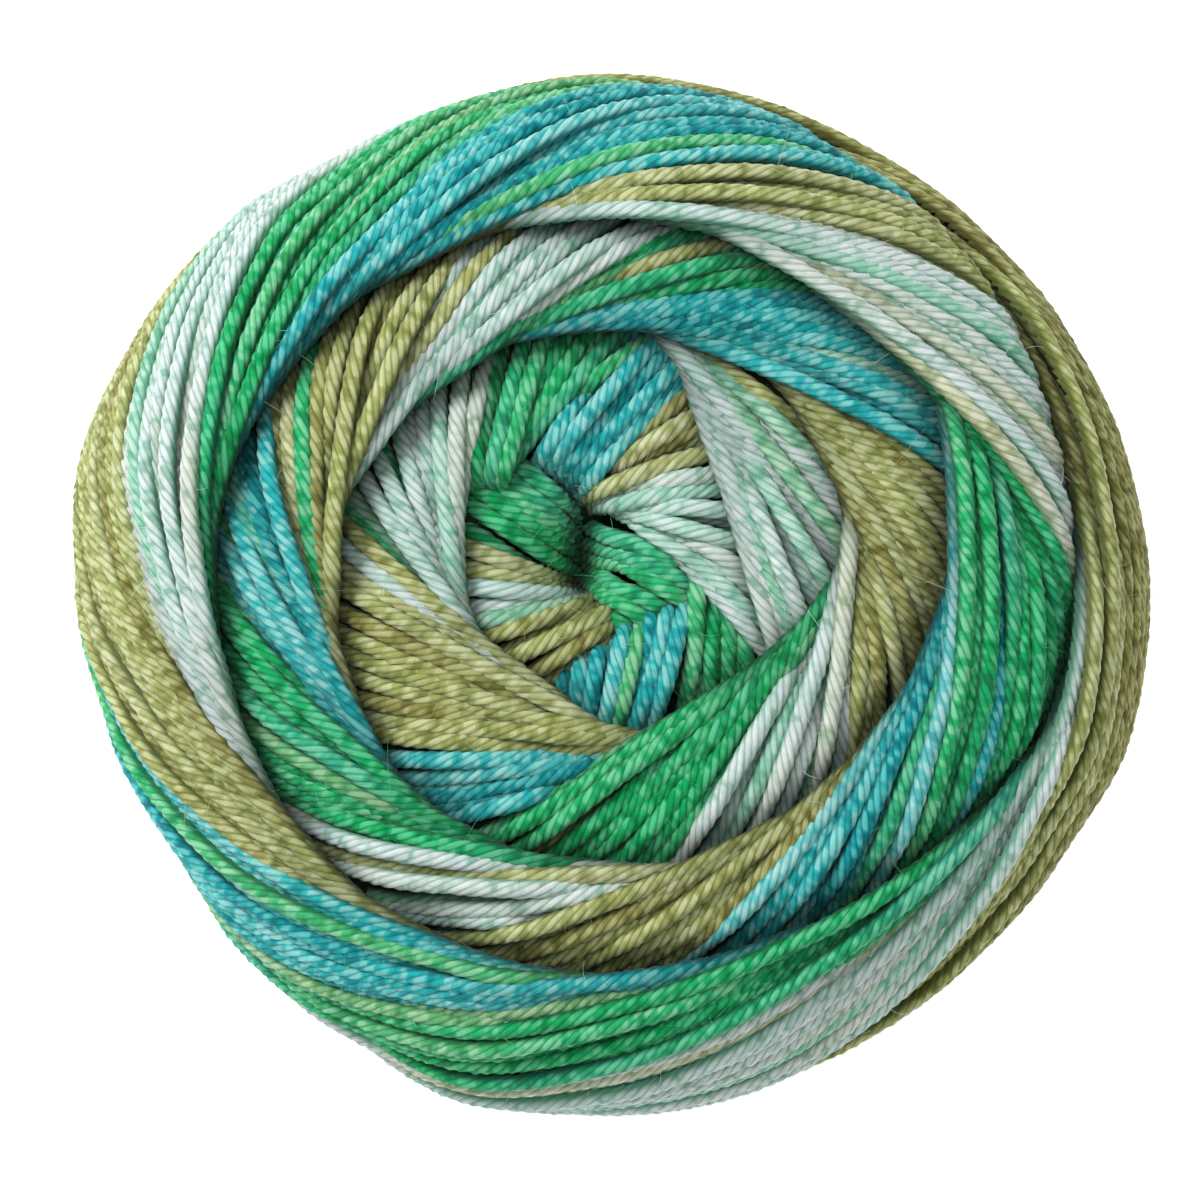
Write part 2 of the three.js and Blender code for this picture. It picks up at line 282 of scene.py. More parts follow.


# Centre line of one turn, with its outward normal, its share shown and how much painted shade darkens its
# colour, from how deep in shade it lies.
def layTurn(number):
    angle = np.linspace(0, 2 * math.pi, strand["samples"], endpoint=False)
    direction = np.cos(angle)[:, None] * turns["toTangent"][number]
    direction = direction + np.sin(angle)[:, None] * turns["onward"][number]
    distance = surfaceDistance(direction, number) - halfStrand
    azimuth = np.arctan2(direction[:, 1], direction[:, 0])
    stray = strayAt(np.array([number]), azimuth)[:, 0]
    direction = unit(direction + turns["across"][number] * (stray / distance)[:, None])
    onTop = direction[:, 2] > 0
    points = direction * distance[:, None]
    above = points.copy()       # later turns over the pit cover what lies straight below them
    above[:, 2] += np.where(onTop, pitAt(points[:, 0], points[:, 1]), 0)
    shown = shownShare(number, unit(above), np.linalg.norm(above, axis=1), azimuth)
    past = (direction @ turns["onward"][number]) * distance
    inside = np.where(onTop, turns["tuck"][number] - past, -farOff)
    shown[inside > tuckBend["hiddenFrom"]] = 0
    normal = surfaceNormal(points)
    points[:, 2] = np.maximum(points[:, 2], lowestCentre)
    drop = np.clip(inside / tuckBend["length"] + tuckBend["lead"], 0, 1)
    drop = tuckBend["depth"] * drop * drop * (3 - 2 * drop)
    place, width = turns["sag"][number]
    if place < farOff:
        drop = drop + np.where(onTop, sag["depth"] * np.exp(-((past - place) / width) ** 2), 0)
    points[:, 2] -= drop
    covered = smoothRound(1 - shown, strand["diveEase"])
    sunk = strand["dive"] * covered ** strand["diveCurve"]
    sunk = sunk + strand["mound"] * smoothRound(1 - shown, strand["moundEase"])
    points = points - unit(normal * np.array(strand["sinkLean"])) * sunk[:, None]
    for axis in range(3):
        points[:, axis] = smoothRound(points[:, axis], strand["smooth"])
    # painted shade, from how far the turn is covered and how far it drops into the hole
    paintedShade = covered ** shade["curve"] + (drop - shade["from"]) / shade["over"]
    return points, normal, shown, smoothRound(np.clip(paintedShade, 0, 1), shade["ease"])


# Stretches of a closed turn that show, with a few hidden rings kept at both ends.
def shownStretches(shown, pads):
    keep = shown > 0
    count = len(keep)
    whole = np.arange(count + strand["overlap"])
    if keep.all():
        return [(whole + int(count * strand["seam"])) % count]
    wide = keep.copy()
    for step in range(1, pads.max() + 1):
        wide |= (np.roll(keep, step) | np.roll(keep, -step)) & (pads >= step)
    if wide.all():
        return [(whole + int(np.argmin(shown))) % count]
    starts = np.flatnonzero(wide & ~np.roll(wide, 1))
    stretches = []
    for start in starts:
        length = 1
        while wide[(start + length) % count]:
            length += 1
        stretch = np.arange(start, start + length) % count
        if shown[stretch].max() >= strand["leastShown"]:
            stretches.append(stretch)
    return stretches


# A closed twisted tube of plies along a stretch: crowns on the even columns, grooves on the odd.
# The last result is how far round each corner lies from the outward side, 0 to 1.
def plyTube(points, normal, twistStart):
    columns = 2 * strand["plies"]
    along = unit(np.gradient(points, axis=0))
    side = unit(np.cross(along, normal))
    out = np.cross(side, along)
    steps = np.linalg.norm(np.diff(points, axis=0), axis=1)
    travel = np.concatenate([[0], np.cumsum(steps)])
    loosen = sum(size * np.sin(travel / length + start * twistStart)
                 for size, length, start in strand["loosen"])
    turn = twistStart - 2 * math.pi * travel / strand["pitch"] + loosen
    angle = turn[:, None] + 2 * math.pi * np.arange(columns)[None, :] / columns
    isCrown = np.arange(columns) % 2 == 0
    radius = np.where(isCrown, strand["ridge"], strand["valley"]) * halfStrand
    starts = rng.uniform(0, 2 * math.pi, (len(strand["lumps"]), columns))
    swell = sum(size * np.sin(travel[:, None] * rate + start)
                for (size, rate), start in zip(strand["lumps"], starts))
    radius = radius * (1 + strand["swell"] * swell * isCrown)
    outPart = (np.cos(angle) * radius)[..., None] * out[:, None, :] * strand["flatten"]
    sidePart = (np.sin(angle) * radius)[..., None] * side[:, None, :]
    return points[:, None, :] + outPart + sidePart, travel, (1 - np.cos(angle)) / 2


# A mesh piece from four-sided faces and the faces that close the ends of its tubes.
def makeMesh(name, corners, quads, caps, uv=None, floats=None):
    mesh = bpy.data.meshes.new(name)
    flat = np.concatenate([quads.ravel(), caps.ravel()]).astype(np.int32)
    sizes = np.concatenate([np.full(len(quads), 4), np.full(len(caps), caps.shape[1])])
    mesh.vertices.add(len(corners))
    mesh.vertices.foreach_set("co", np.ascontiguousarray(corners, dtype=np.float32).ravel())
    mesh.loops.add(len(flat))
    mesh.loops.foreach_set("vertex_index", flat)
    mesh.polygons.add(len(sizes))
    mesh.polygons.foreach_set("loop_start", np.concatenate([[0], np.cumsum(sizes)[:-1]]).astype(np.int32))
    if uv is not None:
        layer = mesh.uv_layers.new(name="strandUv")
        both = np.concatenate([uv.reshape(-1, 2), np.zeros((caps.size, 2))])
        layer.uv.foreach_set("vector", both.astype(np.float32).ravel())
    for label, values in (floats or {}).items():
        attribute = mesh.attributes.new(label, "FLOAT", "POINT")
        attribute.data.foreach_set("value", np.asarray(values, dtype=np.float32))
    mesh.update(calc_edges=True)
    mesh.shade_smooth()
    piece = bpy.data.objects.new(name, mesh)
    bpy.context.collection.objects.link(piece)
    return piece


core = {
    "rings": 70, "sides": 140,
    "sink": 5.0, "sinkBelow": 2.6,      # mm under the outside of the yarn, on the top and on the sides
    "topFrom": 0.05, "topOver": 0.3,    # where the top starts and its way to full, as shares of the rise
    "hole": 9.0, "holeWidth": 14.0,     # mm deeper under the pit, and how far out that reaches
    "topAway": 45,              # mm from the middle of the cake to its top
    "reach": 1.1,               # half widths out to which a turn counts as lying over a place
    "settle": 3,                # cells out to which the lowest turn counts, so that nothing pokes through
    "lowest": 1.6,              # mm over the ground
    # the inner yarn's green and olive, darkened to near black as painted shade
    "colours": ((12, 48, 32), (44, 48, 24)), "patches": (0.4, 0.6, 0.0, 1.0),
    "patchScale": 90.0, "patchDetail": 3.0,
    "grainScale": 900.0, "grainDepth": 0.0004,      # metres
    "roughness": 0.95, "specular": 0.1,
}


# Which turn lies on top in each direction, for the body under the strands.
def topTurnAt(direction):
    latest = np.zeros(len(direction))
    reachOut = core["reach"] * halfStrand / (cake["width"] / 2)
    turnsAtOnce = 40
    for start in range(0, turnCount, turnsAtOnce):
        which = np.arange(start, min(start + turnsAtOnce, turnCount))
        near = np.abs(direction @ turns["across"][which].T) < reachOut
        latest = np.maximum(latest, np.where(near, which[None, :], 0).max(axis=1))
    return latest


# The closed body under the strands, its colour darkened as painted shade.
def makeCore():
    lat = np.linspace(-math.pi / 2, math.pi / 2, core["rings"] + 1)[1:-1]
    lon = np.linspace(0, 2 * math.pi, core["sides"], endpoint=False)
    lonGrid, latGrid = np.meshgrid(lon, lat)
    level = np.cos(latGrid)
    direction = np.stack([level * np.cos(lonGrid), level * np.sin(lonGrid), np.sin(latGrid)], -1)
    direction = np.concatenate([direction.reshape(-1, 3), [[0, 0, -1.0], [0, 0, 1.0]]])
    latest = topTurnAt(direction)
    grid = latest[:-2].reshape(len(lat), len(lon))
    for step in range(core["settle"]):
        grid = np.minimum.reduce([grid, np.roll(grid, 1, 1), np.roll(grid, -1, 1),
                                  np.vstack([grid[:1], grid[:-1]]), np.vstack([grid[1:], grid[-1:]])])
    latest = np.concatenate([grid.ravel(), [grid[0].min(), grid[-1].min()]])
    outward = np.hypot(direction[:, 0], direction[:, 1]) * core["topAway"]
    nearHole = np.where(direction[:, 2] > 0, np.exp(-(outward / core["holeWidth"]) ** 2), 0)
    onTop = np.clip((direction[:, 2] - core["topFrom"]) / core["topOver"], 0, 1)
    sink = core["sinkBelow"] + (core["sink"] - core["sinkBelow"]) * onTop + core["hole"] * nearHole
    points = direction * (surfaceDistance(direction, latest) - sink)[:, None]
    points[:, 2] = np.maximum(points[:, 2] + lift, core["lowest"])
    sides = core["sides"]
    here = np.arange(sides)
    beside = (here + 1) % sides
    rows = np.arange(len(lat) - 1)[:, None] * sides
    quads = np.stack([rows + here, rows + beside, rows + beside + sides, rows + here + sides], -1)
    low, high = len(points) - 2, len(points) - 1
    last = (len(lat) - 1) * sides
    bottomCap = np.stack([np.full(sides, low), beside, here], 1)
    topCap = np.stack([np.full(sides, high), last + here, last + beside], 1)
    return makeMesh("innerWinding", points * mm, quads.reshape(-1, 4), np.concatenate([bottomCap, topCap]))


# The tubes of one band as one piece.
def makeBand(bandIndex, laid):
    columns = 2 * strand["plies"]
    column = np.arange(columns)
    beside = (column + 1) % columns
    place = ((column - 1) % columns) / columns          # the seam of the pattern lies in a groove
    corners, quads, caps, uvs, dye, seed, crease, paintedShadeAt = [], [], [], [], [], [], [], []
    count = 0
    name = bands[bandIndex][0]
    inCentre = name in tucks or name == "coreChords"
    for number in np.flatnonzero(turns["band"] == bandIndex):
        points, normal, shown, paintedShade = laid[number]
        padAbove, padBelow = strand["pads"]
        if inCentre:
            padAbove = strand["centrePad"]
        pads = np.where(points[:, 2] > strand["padsFrom"], padAbove, padBelow)
        for stretch in shownStretches(shown, pads):
            tube, travel, turned = plyTube(points[stretch], normal[stretch], turns["twist"][number])
            rings = len(tube)
            first = count + np.arange(rings - 1)[:, None] * columns
            away = (turned[:-1] + turned[1:] + turned[:-1, beside] + turned[1:, beside]) / 4
            front = (away < strand["backFrom"]).ravel()
            quads.append(np.stack([first + column, first + beside, first + beside + columns,
                                   first + column + columns], -1).reshape(-1, 4)[front])
            length = travel[:, None] / strand["patternLength"]
            low = np.broadcast_to(length[:-1], (rings - 1, columns))
            high = np.broadcast_to(length[1:], (rings - 1, columns))
            left = np.broadcast_to(place, (rings - 1, columns))
            right = left + 1 / columns
            uvs.append(np.stack([np.stack([left, low], -1), np.stack([right, low], -1),
                                 np.stack([right, high], -1), np.stack([left, high], -1)], 2)
                       .reshape(-1, 4, 2)[front])
            caps.append(np.stack([count + column[::-1], count + (rings - 1) * columns + column]))
            corners.append(tube.reshape(-1, 3))
            dye.append(np.full(rings * columns, turns["dye"][number]))
            seed.append(np.full(rings * columns, turns["seed"][number]))
            crease.append(turned.ravel())
            paintedShadeAt.append(np.repeat(paintedShade[stretch], columns))
            count += rings * columns
    corners, quads, caps = np.concatenate(corners), np.concatenate(quads), np.concatenate(caps)
    corners[:, 2] += lift
    used, places = np.unique(np.concatenate([quads.ravel(), caps.ravel()]), return_inverse=True)
    quads, caps = places[:quads.size].reshape(-1, 4), places[quads.size:].reshape(-1, columns)
    floats = {"dye": dye, "seed": seed, "crease": crease, "paintedShade": paintedShadeAt}
    floats = {label: np.concatenate(values)[used] for label, values in floats.items()}
    return makeMesh(name, corners[used] * mm, quads, caps, np.concatenate(uvs), floats)


fuzz = {
    "count": 4000,
    "length": (1.4, 4.6),       # mm
    "radius": 0.032, "taper": 0.6,      # mm at the root, and the share lost towards the tip
    "steps": 5, "corners": 3,
    "draws": 3,                 # places tried for each fibre
    "leastShown": 0.4,          # share of the strand that shows where a fibre starts
    "leastUp": 0.3,             # how much that place faces up
    "rootAt": 0.8,              # how far out in the strand it starts
    "outward": 0.45, "backward": 0.9,   # how much fibres point out of the yarn, and bend back to it
    "bend": 0.55,               # how far they bend, as a share of their length
    "lowest": 0.02,             # mm over the ground
    "roughness": 0.6, "specular": 0.3,
    "paleShares": (0.3, 1.0),   # how pale the least and the most bleached fibres are
}


# Fine loose fibres that stand off the strands.
def makeFuzz(laid):
    roots, outs, dyeAt, seedAt = [], [], [], []
    numbers = rng.integers(0, turnCount, fuzz["count"] * fuzz["draws"])
    for number in numbers:
        points, normal, shown, _ = laid[number]
        ring = rng.integers(0, len(points))
        hidden = shown[ring] < fuzz["leastShown"] or normal[ring, 2] < fuzz["leastUp"]
        if hidden or len(roots) >= fuzz["count"]:
            continue
        roots.append(points[ring] + normal[ring] * halfStrand * fuzz["rootAt"])
        outs.append(normal[ring])
        dyeAt.append(turns["dye"][number])
        seedAt.append(turns["seed"][number])
    roots, outs = np.array(roots), np.array(outs)
    count = len(roots)
    heading = unit(rng.normal(0, 1, (count, 3)) + outs * fuzz["outward"])
    bend = unit(rng.normal(0, 1, (count, 3)) - outs * fuzz["backward"])
    length = rng.uniform(*fuzz["length"], count)
    place = np.linspace(0, 1, fuzz["steps"])
    path = roots[:, None] + heading[:, None] * (length[:, None] * place)[..., None]
    path = path + bend[:, None] * (length[:, None] * fuzz["bend"] * place ** 2)[..., None]
    along = unit(np.gradient(path, axis=1))
    offAxis = np.array([0.31, 0.52, 0.79])
    side = unit(np.cross(along, offAxis))
    out = np.cross(side, along)
    radius = fuzz["radius"] * (1 - fuzz["taper"] * place)
    corners = fuzz["corners"]
    angle = 2 * math.pi * np.arange(corners) / corners
    ring = (np.cos(angle)[:, None] * out[:, :, None] + np.sin(angle)[:, None] * side[:, :, None])
    tube = path[:, :, None] + ring * radius[None, :, None, None]
    tube[..., 2] = np.maximum(tube[..., 2] + lift, fuzz["lowest"])
    steps = fuzz["steps"]
    fibreSize = steps * corners
    first = np.arange(count)[:, None, None] * fibreSize
    row = first + np.arange(steps - 1)[None, :, None] * corners
    column = np.arange(corners)
    beside = (column + 1) % corners
    quads = np.stack([row + column, row + beside, row + beside + corners, row + column + corners], -1)
    flat = np.arange(count)[:, None] * fibreSize
    caps = np.concatenate([flat + column[::-1], flat + fibreSize - corners + column])
    floats = {"dye": np.repeat(dyeAt, fibreSize), "seed": np.repeat(seedAt, fibreSize)}
    return makeMesh("looseFibres", tube.reshape(-1, 3) * mm, quads.reshape(-1, 4), caps, None, floats)


# Place of each dye on the ramps, then three colours in sRGB: the ply crowns; a darker one for the
# fibres that took more dye and for the painted shade in the grooves and on the sides of the strands;
# and the fibres that took less dye.
dyeBath = {
    "deep turquoise": (0.02, (6, 156, 162), (0, 78, 86), (90, 204, 202)),
    "turquoise": (0.08, (42, 186, 186), (2, 106, 112), (142, 222, 216)),
    "pale turquoise": (0.15, (112, 206, 204), (30, 134, 136), (176, 228, 224)),
    "green": (0.27, (2, 172, 94), (0, 78, 40), (84, 206, 144)),
    "light green": (0.37, (52, 190, 120), (4, 106, 60), (136, 220, 170)),
    "sage": (0.46, (124, 182, 124), (56, 112, 60), (172, 212, 160)),
    "mint": (0.55, (152, 210, 186), (66, 150, 112), (196, 228, 216)),
    "white": (0.65, (206, 224, 220), (96, 160, 134), (228, 234, 236)),
    "cream": (0.74, (202, 206, 162), (124, 134, 82), (222, 224, 196)),
    "olive": (0.84, (168, 176, 104), (84, 94, 40), (206, 212, 156)),
    "deep olive": (0.95, (144, 144, 78), (68, 68, 28), (186, 188, 126)),
}


# The usual turn from sRGB, 0 to 255, to linear light.
def linearColour(red, green, blue):
    values = []
    for value in (red, green, blue):
        share = value / 255
        values.append(share / 12.92 if share <= 0.04045 else ((share + 0.055) / 1.055) ** 2.4)
    return (*values, 1.0)


def addNode(tree, kind, x, y, **settings):
    node = tree.nodes.new(kind)
    node.location = (x, y)
    for key, value in settings.items():
        setattr(node, key, value)
    return node


def connect(tree, source, target):
    tree.links.new(source, target)


def mathNode(tree, operation, x, y, first, second=None):
    node = addNode(tree, "ShaderNodeMath", x, y, operation=operation)
    for socket, value in zip(node.inputs, (first, second)):
        if value is None:
            continue
        if isinstance(value, (int, float)):
            socket.default_value = value
        else:
            connect(tree, value, socket)
    return node.outputs[0]


def newGroup(name, inputs, outputs):
    group = bpy.data.node_groups.new(name, "ShaderNodeTree")
    for label, kind in inputs:
        group.interface.new_socket(label, in_out="INPUT", socket_type=kind)
    for label, kind in outputs:
        group.interface.new_socket(label, in_out="OUTPUT", socket_type=kind)
    return group, addNode(group, "NodeGroupInput", -1400, 0), addNode(group, "NodeGroupOutput", 900, 0)


# Colours of the yarn at a place on the dye ramps.
def makeDyeGroup():
    results = ("Crown", "DeepDyeAndShade", "Pale")
    group, source, target = newGroup("yarnDye", [("Place", "NodeSocketFloat")],
                                     [(result, "NodeSocketColor") for result in results])
    for index, result in enumerate(results):
        ramp = addNode(group, "ShaderNodeValToRGB", -400, -300 * index)
        elements = ramp.color_ramp.elements
        while len(elements) < len(dyeBath):
            elements.new(0.5)
        for element, bath in zip(elements, dyeBath.values()):
            element.position = bath[0]
            element.color = linearColour(*bath[index + 1])
        connect(group, source.outputs["Place"], ramp.inputs["Fac"])
        connect(group, ramp.outputs["Color"], target.inputs[result])
    return group


def combine(tree, x, y, first, second, third=None):
    node = addNode(tree, "ShaderNodeCombineXYZ", x, y)
    for socket, value in zip(node.inputs, (first, second, third)):
        if value is not None:
            connect(tree, value, socket)
    return node.outputs[0]


def noiseAt(tree, x, y, vector, detail):
    node = addNode(tree, "ShaderNodeTexNoise", x, y)
    node.inputs["Scale"].default_value = 1.0
    node.inputs["Detail"].default_value = detail
    connect(tree, vector, node.inputs["Vector"])
    return node.outputs["Fac"]


# The pattern of the plies: how far apart its strands and its plies lie in the noise, how quickly
# the noises change, and what makes up the relief.
plyPattern = {
    "strandStep": 190.0, "plyStep": 7.3,
    "uptakeRate": 6.0, "driftRate": 0.28,   # changes for each unit along the strand
    "fibresAround": 54.0, "fibreRate": 6.0, "fibreDetail": 3.0,
    "crownHeight": 0.6, "fibreHeight": 0.7,
}


# Crowns, uptake of dye, drift of the dye and fibres of the plies, from the strand's own coordinates.
def makePlyGroup():
    results = ("Crown", "Uptake", "Drift", "Fibre", "Height")
    group, source, target = newGroup(
        "plyPattern", [("Strand", "NodeSocketVector"), ("Seed", "NodeSocketFloat")],
        [(result, "NodeSocketFloat") for result in results])
    split = addNode(group, "ShaderNodeSeparateXYZ", -1200, 0)
    connect(group, source.outputs["Strand"], split.inputs[0])
    around, along = split.outputs["X"], split.outputs["Y"]

    def times(x, y, value, factor):
        return mathNode(group, "MULTIPLY", x, y, value, factor)

    plies = strand["plies"]
    wave = mathNode(group, "SINE", -800, 200, times(-1000, 200, around, plies * math.pi))
    crown = mathNode(group, "ABSOLUTE", -600, 200, wave)
    ply = mathNode(group, "FLOOR", -800, 0, times(-1000, 0, around, plies))
    seedPlace = times(-1000, -150, source.outputs["Seed"], plyPattern["strandStep"])
    plyPlace = mathNode(group, "ADD", -600, 0, times(-700, 0, ply, plyPattern["plyStep"]), seedPlace)
    uptakePlace = combine(group, -400, 0, plyPlace, times(-700, -100, along, plyPattern["uptakeRate"]))
    uptake = noiseAt(group, -200, 0, uptakePlace, 1.0)
    driftPlace = combine(group, -400, -150, seedPlace, times(-700, -200, along, plyPattern["driftRate"]))
    drift = noiseAt(group, -200, -150, driftPlace, 1.0)
    fibreAround = times(-700, -300, around, plyPattern["fibresAround"])
    fibreAlong = times(-700, -400, along, plyPattern["fibreRate"])
    fibrePlace = combine(group, -400, -300, fibreAround, fibreAlong, seedPlace)
    fibre = noiseAt(group, -200, -300, fibrePlace, plyPattern["fibreDetail"])
    height = mathNode(group, "ADD", 300, -200, times(100, -100, crown, plyPattern["crownHeight"]),
                      times(100, -300, fibre, plyPattern["fibreHeight"]))
    for result, value in zip(results, (crown, uptake, drift, fibre, height)):
        connect(group, value, target.inputs[result])
    return group


def mapRange(tree, x, y, value, low, high, toLow, toHigh):
    node = addNode(tree, "ShaderNodeMapRange", x, y)
    connect(tree, value, node.inputs["Value"])
    for label, number in (("From Min", low), ("From Max", high), ("To Min", toLow), ("To Max", toHigh)):
        node.inputs[label].default_value = number
    return node.outputs["Result"]


def mixColour(tree, x, y, blend, factor, first, second):
    node = addNode(tree, "ShaderNodeMix", x, y, data_type="RGBA", blend_type=blend)
    colourA, colourB, mixed = node.inputs[6], node.inputs[7], node.outputs[2]
    for socket, value in ((node.inputs["Factor"], factor), (colourA, first), (colourB, second)):
        if isinstance(value, (float, tuple)):
            socket.default_value = value
        else:
            connect(tree, value, socket)
    return mixed


# A new material with its node tree and its Principled node.
def newMaterial(name, roughness, specular):
    material = bpy.data.materials.new(name)
    material.use_nodes = True
    shader = material.node_tree.nodes["Principled BSDF"]
    shader.inputs["Roughness"].default_value = roughness
    shader.inputs["Specular IOR Level"].default_value = specular
    return material, material.node_tree, shader


# A row of four: from and to on the pattern, and the result at each.
yarnFinish = {
    "roughness": 0.8, "specular": 0.15, "sheen": 0.1, "sheenRoughness": 0.5,
    "drift": (0.3, 0.7, -0.035, 0.035),     # slow change along the dye ramp
    "pale": (0.47, 0.57, 0.0, 0.9),         # fibres that took less dye
    "deep": (0.43, 0.33, 0.0, 0.55),        # fibres that took more
    "groove": (0.75, 0.0, 0.0, 0.6),        # painted shade in the grooves between plies
    "crease": (0.2, 0.5, 0.0, 0.9),         # painted shade on the sides of the strands
    "streak": (0.35, 0.65, 0.84, 1.1),      # brightness of single fibres
    "paintedShadeTint": (0.03, 0.07, 0.045, 1.0),  # painted shade: what is left of the colour where turns dive under others and down the hole
    "relief": 0.7, "reliefHeight": 0.0002,      # metres
}


def yarnMaterial(dyeGroup, plyGroup):
    material, tree, shader = newMaterial("dyedYarn", yarnFinish["roughness"], yarnFinish["specular"])
    uv = addNode(tree, "ShaderNodeUVMap", -1800, -200, uv_map="strandUv")
    place = addNode(tree, "ShaderNodeAttribute", -1800, 200, attribute_name="dye")
    seed = addNode(tree, "ShaderNodeAttribute", -1800, 0, attribute_name="seed")
    crease = addNode(tree, "ShaderNodeAttribute", -1800, -400, attribute_name="crease")
    paintedShade = addNode(tree, "ShaderNodeAttribute", -1800, -600, attribute_name="paintedShade")
    pattern = addNode(tree, "ShaderNodeGroup", -1500, -100, node_tree=plyGroup)
    connect(tree, uv.outputs["UV"], pattern.inputs["Strand"])
    connect(tree, seed.outputs["Fac"], pattern.inputs["Seed"])
    shift = mapRange(tree, -1200, 400, pattern.outputs["Drift"], *yarnFinish["drift"])
    dye = addNode(tree, "ShaderNodeGroup", -900, 300, node_tree=dyeGroup)
    connect(tree, mathNode(tree, "ADD", -1050, 300, place.outputs["Fac"], shift), dye.inputs["Place"])
    paleness = mapRange(tree, -1200, 100, pattern.outputs["Uptake"], *yarnFinish["pale"])
    colour = mixColour(tree, -700, 250, "MIX", paleness, dye.outputs["Crown"], dye.outputs["Pale"])
    deepness = mapRange(tree, -1200, -50, pattern.outputs["Uptake"], *yarnFinish["deep"])
    colour = mixColour(tree, -500, 250, "MIX", deepness, colour, dye.outputs["DeepDyeAndShade"])
    # painted shade: the grooves between plies are mixed towards the darker colour
    groove = mapRange(tree, -1200, -250, pattern.outputs["Crown"], *yarnFinish["groove"])
    colour = mixColour(tree, -300, 250, "MIX", groove, colour, dye.outputs["DeepDyeAndShade"])
    # painted shade: the sides of the strands, turned away from the outside, are mixed towards the darker
    # colour
    side = mapRange(tree, -1200, -350, crease.outputs["Fac"], *yarnFinish["crease"])
    colour = mixColour(tree, -200, 250, "MIX", side, colour, dye.outputs["DeepDyeAndShade"])
    streak = mapRange(tree, -1200, -450, pattern.outputs["Fibre"], *yarnFinish["streak"])
    tint = addNode(tree, "ShaderNodeCombineColor", -500, 0)
    for channel in range(3):
        connect(tree, streak, tint.inputs[channel])
    colour = mixColour(tree, -100, 250, "MULTIPLY", 1.0, colour, tint.outputs[0])
    # painted shade: the colour is darkened where turns dive under others and down the hole
    colour = mixColour(tree, 0, 250, "MULTIPLY", paintedShade.outputs["Fac"], colour, yarnFinish["paintedShadeTint"])
    connect(tree, colour, shader.inputs["Base Color"])
    bump = addNode(tree, "ShaderNodeBump", -300, -300)
    bump.inputs["Strength"].default_value = yarnFinish["relief"]
    bump.inputs["Distance"].default_value = yarnFinish["reliefHeight"]
    connect(tree, pattern.outputs["Height"], bump.inputs["Height"])
    connect(tree, bump.outputs["Normal"], shader.inputs["Normal"])
    shader.inputs["Sheen Weight"].default_value = yarnFinish["sheen"]
    shader.inputs["Sheen Roughness"].default_value = yarnFinish["sheenRoughness"]
    return material


def fibreMaterial(dyeGroup):
    material, tree, shader = newMaterial("looseFibre", fuzz["roughness"], fuzz["specular"])
    place = addNode(tree, "ShaderNodeAttribute", -900, 200, attribute_name="dye")
    seed = addNode(tree, "ShaderNodeAttribute", -900, 0, attribute_name="seed")
    dye = addNode(tree, "ShaderNodeGroup", -600, 200, node_tree=dyeGroup)
    connect(tree, place.outputs["Fac"], dye.inputs["Place"])
    paleness = mapRange(tree, -600, 0, seed.outputs["Fac"], 0.0, 1.0, *fuzz["paleShares"])
    colour = mixColour(tree, -300, 200, "MIX", paleness, dye.outputs["Crown"], dye.outputs["Pale"])
    connect(tree, colour, shader.inputs["Base Color"])
    return material


def innerMaterial():
    material, tree, shader = newMaterial("shadedInnerYarn", core["roughness"], core["specular"])
    where = addNode(tree, "ShaderNodeTexCoord", -1100, 0)
    noise = addNode(tree, "ShaderNodeTexNoise", -900, 0)
    noise.inputs["Scale"].default_value = core["patchScale"]
    noise.inputs["Detail"].default_value = core["patchDetail"]
    connect(tree, where.outputs["Object"], noise.inputs["Vector"])
    factor = mapRange(tree, -700, 0, noise.outputs["Fac"], *core["patches"])
    # painted shade: both colours are darkened to near black
    green, olive = [linearColour(*value) for value in core["colours"]]
    colour = mixColour(tree, -400, 0, "MIX", factor, green, olive)
    connect(tree, colour, shader.inputs["Base Color"])
    fine = addNode(tree, "ShaderNodeTexNoise", -900, -300)
    fine.inputs["Scale"].default_value = core["grainScale"]
    connect(tree, where.outputs["Object"], fine.inputs["Vector"])
    bump = addNode(tree, "ShaderNodeBump", -400, -300)
    bump.inputs["Distance"].default_value = core["grainDepth"]
    connect(tree, fine.outputs["Fac"], bump.inputs["Height"])
    connect(tree, bump.outputs["Normal"], shader.inputs["Normal"])
    return material


def finishPiece(piece, material):
    piece.data.materials.append(material)
    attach(piece, "root")
    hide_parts("yarn_cake")


print("laying", turnCount, "turns")
laid = [layTurn(number) for number in range(turnCount)]
dyeGroup, plyGroup = makeDyeGroup(), makePlyGroup()
yarn = yarnMaterial(dyeGroup, plyGroup)
print("making the bands")
for bandIndex in range(len(bands)):
    finishPiece(makeBand(bandIndex, laid), yarn)
print("making the inner body and the loose fibres")
finishPiece(makeCore(), innerMaterial())
finishPiece(makeFuzz(laid), fibreMaterial(dyeGroup))
shapes = [piece for piece in bpy.data.objects if piece.type == "MESH" and piece.name != "yarn_cake"]
counts = [len(piece.data.loops) - 2 * len(piece.data.polygons) for piece in shapes]
print("triangles", sum(counts), "most in a piece", max(counts))


studio = {
    "floorSize": 3.0,           # metres
    "floorColours": ((236, 236, 236), (244, 244, 244)), "floorPatches": 60.0,
    "floorGlow": 0.7, "floorRoughness": 0.9, "floorSpecular": 0.5,
    "world": 0.38,
    # place and size in metres, power in watts
    "key": {"place": (-0.55, 0.45, 0.75), "size": 0.5, "power": 7.4},
    "fill": {"place": (0.6, -0.35, 0.6), "size": 0.8, "power": 0.9},
    "top": {"place": (-0.1, 0.15, 1.3), "size": 0.35, "power": 2.4},
    "exposure": 0.0,
}


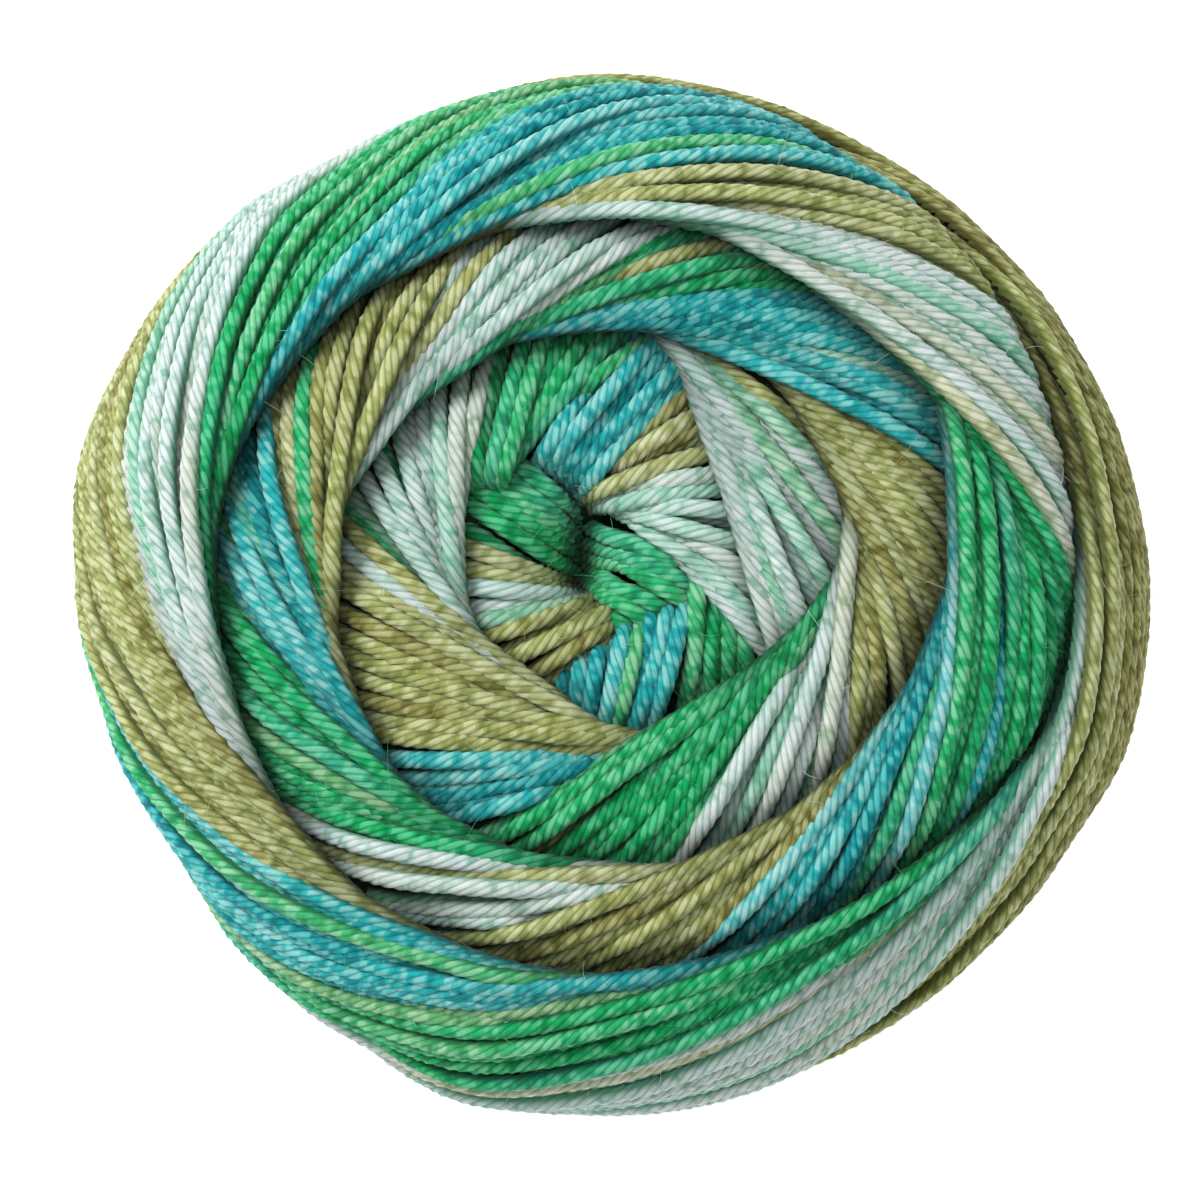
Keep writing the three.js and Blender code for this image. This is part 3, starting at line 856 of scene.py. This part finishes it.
def makeFloor():
    half = studio["floorSize"] / 2
    mesh = bpy.data.meshes.new("floor")
    corners = [(-half, -half, 0), (half, -half, 0), (half, half, 0), (-half, half, 0)]
    mesh.from_pydata(corners, [], [(0, 1, 2, 3)])
    floor = bpy.data.objects.new("floor", mesh)
    bpy.context.collection.objects.link(floor)
    material, tree, shader = newMaterial("paleTable", studio["floorRoughness"], studio["floorSpecular"])
    noise = addNode(tree, "ShaderNodeTexNoise", -700, 0)
    noise.inputs["Scale"].default_value = studio["floorPatches"]
    greyer, whiter = [linearColour(*value) for value in studio["floorColours"]]
    colour = mixColour(tree, -300, 0, "MIX", noise.outputs["Fac"], greyer, whiter)
    connect(tree, colour, shader.inputs["Base Color"])
    shader.inputs["Emission Color"].default_value = (1, 1, 1, 1)
    shader.inputs["Emission Strength"].default_value = studio["floorGlow"]
    floor.data.materials.append(material)


def makeLight(name):
    values = studio[name]
    data = bpy.data.lights.new(name, "AREA")
    data.shape = "DISK"
    data.size = values["size"]
    data.energy = values["power"]
    light = bpy.data.objects.new(name, data)
    light.location = values["place"]
    aim = -light.location
    light.rotation_euler = aim.to_track_quat("-Z", "Y").to_euler()
    bpy.context.collection.objects.link(light)


# The camera looks straight down.
view = {
    "distance": 1.0,            # metres over the middle of the cake
    "width": 0.12245,           # metres across the picture there
    "x": -0.0007, "y": -0.0005,
    "sensor": 36.0,
}


def makeCamera():
    data = bpy.data.cameras.new("overhead")
    data.sensor_width = view["sensor"]
    data.lens = view["sensor"] * view["distance"] / view["width"]
    data.clip_end = 20
    camera = bpy.data.objects.new("overhead", data)
    camera.location = (view["x"], view["y"], lift * mm + view["distance"])
    bpy.context.collection.objects.link(camera)
    bpy.context.scene.camera = camera


print("setting the stage")
makeFloor()
for name in ("key", "fill", "top"):
    makeLight(name)
world = bpy.data.worlds.new("softRoom")
world.use_nodes = True
world.node_tree.nodes["Background"].inputs["Color"].default_value = (1, 1, 1, 1)
world.node_tree.nodes["Background"].inputs["Strength"].default_value = studio["world"]
bpy.context.scene.world = world
bpy.context.scene.view_settings.view_transform = "Standard"
bpy.context.scene.view_settings.exposure = studio["exposure"]
makeCamera()
